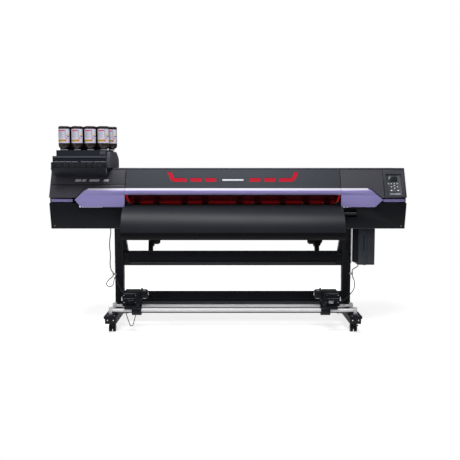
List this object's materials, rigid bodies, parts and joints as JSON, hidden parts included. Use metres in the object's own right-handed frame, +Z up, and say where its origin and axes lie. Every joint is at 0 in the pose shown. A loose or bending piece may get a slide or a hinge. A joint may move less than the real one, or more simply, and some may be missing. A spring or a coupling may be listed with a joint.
{
  "type": "wide-format printer cutter",
  "caption": "Wide roll-to-roll print-and-cut machine on a wheeled stand, with hinged covers, print carriage, clamped feed rollers, ink unit and take-up.",
  "frame": {"origin": "on the floor, at the centre of the box that bounds the machine", "axes": "+X to the operator's right along the body, +Y to the back, +Z up"},
  "size_m": [2.81, 0.82, 1.5931],
  "materials": {
    "stand_black": "satin powder coat",
    "frame_metal": "satin",
    "platen_black": "black anodised, fine grain",
    "apron_grey": "satin powder coat",
    "beam_aluminium": "extruded",
    "belt_rubber": "matte",
    "cover_grey": "fine moulded grain",
    "cover_black": "fine moulded grain",
    "lilac": "satin metallic lilac",
    "lilac_light": "satin metallic lilac",
    "panel_black": "semi gloss",
    "ink_unit_black": "fine moulded grain",
    "bottle_brown": "gloss",
    "tank_black": "satin",
    "rail_steel": "satin",
    "screw_steel": "satin",
    "cable_black": "matte jacket",
    "carriage_grey": "satin",
    "cover_blue_grey": "fine moulded grain",
    "window_red": "clear red acrylic",
    "roller_steel": "ground",
    "arm_black": "satin",
    "pinch_rubber": "matte",
    "unit_black": "satin",
    "chuck_black": "satin",
    "key_grey": "soft touch",
    "caster_black": "satin",
    "wheel_black": "matte"
  },
  "bodies": {
    "root": {"leg_columns": "stand_black", "foot_beams": "stand_black", "crossbeams": "stand_black", "chassis": "frame_metal", "platen": "platen_black", "front_apron": "apron_grey", "rear_guide": "frame_metal", "rail_beam": "beam_aluminium", "carriage_belt": "belt_rubber", "left_upper_cover": "cover_grey", "left_lower_cover": "cover_black", "right_console_cover": "cover_grey", "right_lower_cover": "cover_black", "side_trims": "lilac", "rear_cover": "cover_grey", "control_panel": "panel_black", "ink_cabinet": "ink_unit_black", "ink_bottles": "bottle_brown", "waste_tank": "tank_black", "roll_rails": "rail_steel", "fasteners": "screw_steel", "cable_left": "cable_black", "cable_right": "cable_black", "maintenance_station": "carriage_grey"},
    "front_cover": {"front_cover": "cover_blue_grey", "cover_handle": "lilac_light", "window": "window_red"},
    "maintenance_cover": {"maintenance_cover": "cover_grey"},
    "carriage": {"carriage": "carriage_grey", "cutter_head": "carriage_grey"},
    "cutter_tool": {"cutter_tool": "roller_steel"},
    "feed_roller": {"feed_roller": "roller_steel"},
    "pinch_arms": {"pinch_arms": "arm_black"},
    "pinch_rollers": {"pinch_rollers": "pinch_rubber"},
    "clamp_lever": {"clamp_lever": "cover_black"},
    "take_up_left": {"take_up_left": "unit_black", "cable_low_left": "cable_black"},
    "take_up_core_left": {"take_up_core_left": "chuck_black"},
    "take_up_right": {"take_up_right": "unit_black"},
    "take_up_core_right": {"take_up_core_right": "chuck_black"},
    "roll_holder_left": {"roll_holder_left": "chuck_black"},
    "roll_holder_right": {"roll_holder_right": "chuck_black"},
    "key_f1": {"key_f1": "key_grey"},
    "key_f2": {"key_f2": "key_grey"},
    "key_f3": {"key_f3": "key_grey"},
    "key_f4": {"key_f4": "key_grey"},
    "key_up": {"key_up": "key_grey"},
    "key_left": {"key_left": "key_grey"},
    "key_right": {"key_right": "key_grey"},
    "key_down": {"key_down": "key_grey"},
    "key_cancel": {"key_cancel": "key_grey"},
    "key_enter": {"key_enter": "key_grey"},
    "caster_fork_front_left": {"caster_fork_front_left": "caster_black"},
    "caster_wheels_front_left": {"caster_wheels_front_left": "wheel_black"},
    "caster_fork_front_right": {"caster_fork_front_right": "caster_black"},
    "caster_wheels_front_right": {"caster_wheels_front_right": "wheel_black"},
    "caster_fork_rear_left": {"caster_fork_rear_left": "caster_black"},
    "caster_wheels_rear_left": {"caster_wheels_rear_left": "wheel_black"},
    "caster_fork_rear_right": {"caster_fork_rear_right": "caster_black"},
    "caster_wheels_rear_right": {"caster_wheels_rear_right": "wheel_black"}
  },
  "joints": [
    {"name": "front_cover_hinge", "type": "hinge", "parent": "root", "child": "front_cover", "pos_m": [0.039, 0.02, 1.264], "axis": [-1, 0, 0], "range_deg": [0, 75]},
    {"name": "maintenance_cover_hinge", "type": "hinge", "parent": "root", "child": "maintenance_cover", "pos_m": [1.058, 0.02, 1.264], "axis": [-1, 0, 0], "range_deg": [0, 75]},
    {"name": "carriage_slide", "type": "slide", "parent": "root", "child": "carriage", "axis": [1, 0, 0], "range_m": [-1.99, 0]},
    {"name": "cutter_tool_slide", "type": "slide", "parent": "carriage", "child": "cutter_tool", "axis": [0, 0, 1], "range_m": [-0.0045, 0], "stiffness_N_per_m": 900, "springref_m": 0.004},
    {"name": "feed_roller_spin", "type": "hinge", "parent": "root", "child": "feed_roller", "pos_m": [0.039, 0.02, 0.961], "axis": [1, 0, 0], "continuous": true},
    {"name": "clamp_lever_pivot", "type": "hinge", "parent": "root", "child": "clamp_lever", "pos_m": [0.96, -0.14, 0.911], "axis": [1, 0, 0], "range_deg": [0, 35]},
    {"name": "pinch_arms_lift", "type": "hinge", "parent": "root", "child": "pinch_arms", "pos_m": [0.039, 0.11, 1.03], "axis": [1, 0, 0], "range_deg": [-8.2, 0]},
    {"name": "pinch_rollers_spin", "type": "hinge", "parent": "pinch_arms", "child": "pinch_rollers", "pos_m": [0.032, 0.02, 0.9873], "axis": [1, 0, 0], "continuous": true},
    {"name": "take_up_left_slide", "type": "slide", "parent": "root", "child": "take_up_left", "axis": [1, 0, 0], "range_m": [0, 0.25]},
    {"name": "take_up_core_left_spin", "type": "hinge", "parent": "take_up_left", "child": "take_up_core_left", "pos_m": [-0.7, -0.235, 0.282], "axis": [1, 0, 0], "continuous": true},
    {"name": "take_up_right_slide", "type": "slide", "parent": "root", "child": "take_up_right", "axis": [-1, 0, 0], "range_m": [0, 0.25]},
    {"name": "take_up_core_right_spin", "type": "hinge", "parent": "take_up_right", "child": "take_up_core_right", "pos_m": [0.749, -0.235, 0.282], "axis": [1, 0, 0], "continuous": true},
    {"name": "roll_holder_left_slide", "type": "slide", "parent": "root", "child": "roll_holder_left", "axis": [1, 0, 0], "range_m": [0, 0.5]},
    {"name": "roll_holder_right_slide", "type": "slide", "parent": "root", "child": "roll_holder_right", "axis": [-1, 0, 0], "range_m": [0, 0.5]},
    {"name": "key_f1_press", "type": "slide", "parent": "root", "child": "key_f1", "axis": [0, 0.8998, -0.4363], "range_m": [0, 0.0012], "stiffness_N_per_m": 400, "springref_m": -0.0006},
    {"name": "key_f2_press", "type": "slide", "parent": "root", "child": "key_f2", "axis": [0, 0.8998, -0.4363], "range_m": [0, 0.0012], "stiffness_N_per_m": 400, "springref_m": -0.0006},
    {"name": "key_f3_press", "type": "slide", "parent": "root", "child": "key_f3", "axis": [0, 0.8998, -0.4363], "range_m": [0, 0.0012], "stiffness_N_per_m": 400, "springref_m": -0.0006},
    {"name": "key_f4_press", "type": "slide", "parent": "root", "child": "key_f4", "axis": [0, 0.8998, -0.4363], "range_m": [0, 0.0012], "stiffness_N_per_m": 400, "springref_m": -0.0006},
    {"name": "key_up_press", "type": "slide", "parent": "root", "child": "key_up", "axis": [0, 0.8998, -0.4363], "range_m": [0, 0.0012], "stiffness_N_per_m": 400, "springref_m": -0.0006},
    {"name": "key_left_press", "type": "slide", "parent": "root", "child": "key_left", "axis": [0, 0.8998, -0.4363], "range_m": [0, 0.0012], "stiffness_N_per_m": 400, "springref_m": -0.0006},
    {"name": "key_right_press", "type": "slide", "parent": "root", "child": "key_right", "axis": [0, 0.8998, -0.4363], "range_m": [0, 0.0012], "stiffness_N_per_m": 400, "springref_m": -0.0006},
    {"name": "key_down_press", "type": "slide", "parent": "root", "child": "key_down", "axis": [0, 0.8998, -0.4363], "range_m": [0, 0.0012], "stiffness_N_per_m": 400, "springref_m": -0.0006},
    {"name": "key_cancel_press", "type": "slide", "parent": "root", "child": "key_cancel", "axis": [0, 0.8998, -0.4363], "range_m": [0, 0.0012], "stiffness_N_per_m": 400, "springref_m": -0.0006},
    {"name": "key_enter_press", "type": "slide", "parent": "root", "child": "key_enter", "axis": [0, 0.8998, -0.4363], "range_m": [0, 0.0012], "stiffness_N_per_m": 400, "springref_m": -0.0006},
    {"name": "caster_swivel_front_left", "type": "hinge", "parent": "root", "child": "caster_fork_front_left", "pos_m": [-0.899, -0.335, 0.07], "axis": [0, 0, 1], "continuous": true},
    {"name": "caster_roll_front_left", "type": "hinge", "parent": "caster_fork_front_left", "child": "caster_wheels_front_left", "pos_m": [-0.899, -0.315, 0.03], "axis": [1, 0, 0], "continuous": true},
    {"name": "caster_swivel_front_right", "type": "hinge", "parent": "root", "child": "caster_fork_front_right", "pos_m": [0.977, -0.335, 0.07], "axis": [0, 0, 1], "continuous": true},
    {"name": "caster_roll_front_right", "type": "hinge", "parent": "caster_fork_front_right", "child": "caster_wheels_front_right", "pos_m": [0.977, -0.315, 0.03], "axis": [1, 0, 0], "continuous": true},
    {"name": "caster_swivel_rear_left", "type": "hinge", "parent": "root", "child": "caster_fork_rear_left", "pos_m": [-0.899, 0.335, 0.07], "axis": [0, 0, 1], "continuous": true},
    {"name": "caster_roll_rear_left", "type": "hinge", "parent": "caster_fork_rear_left", "child": "caster_wheels_rear_left", "pos_m": [-0.899, 0.355, 0.03], "axis": [1, 0, 0], "continuous": true},
    {"name": "caster_swivel_rear_right", "type": "hinge", "parent": "root", "child": "caster_fork_rear_right", "pos_m": [0.977, 0.335, 0.07], "axis": [0, 0, 1], "continuous": true},
    {"name": "caster_roll_rear_right", "type": "hinge", "parent": "caster_fork_rear_right", "child": "caster_wheels_rear_right", "pos_m": [0.977, 0.355, 0.03], "axis": [1, 0, 0], "continuous": true}
  ],
  "couplings": [
    {"joint": "pinch_arms_lift", "follows": "clamp_lever_pivot", "ratio": -0.22857},
    {"joint": "pinch_rollers_spin", "follows": "feed_roller_spin", "ratio": -1.3636}
  ]
}
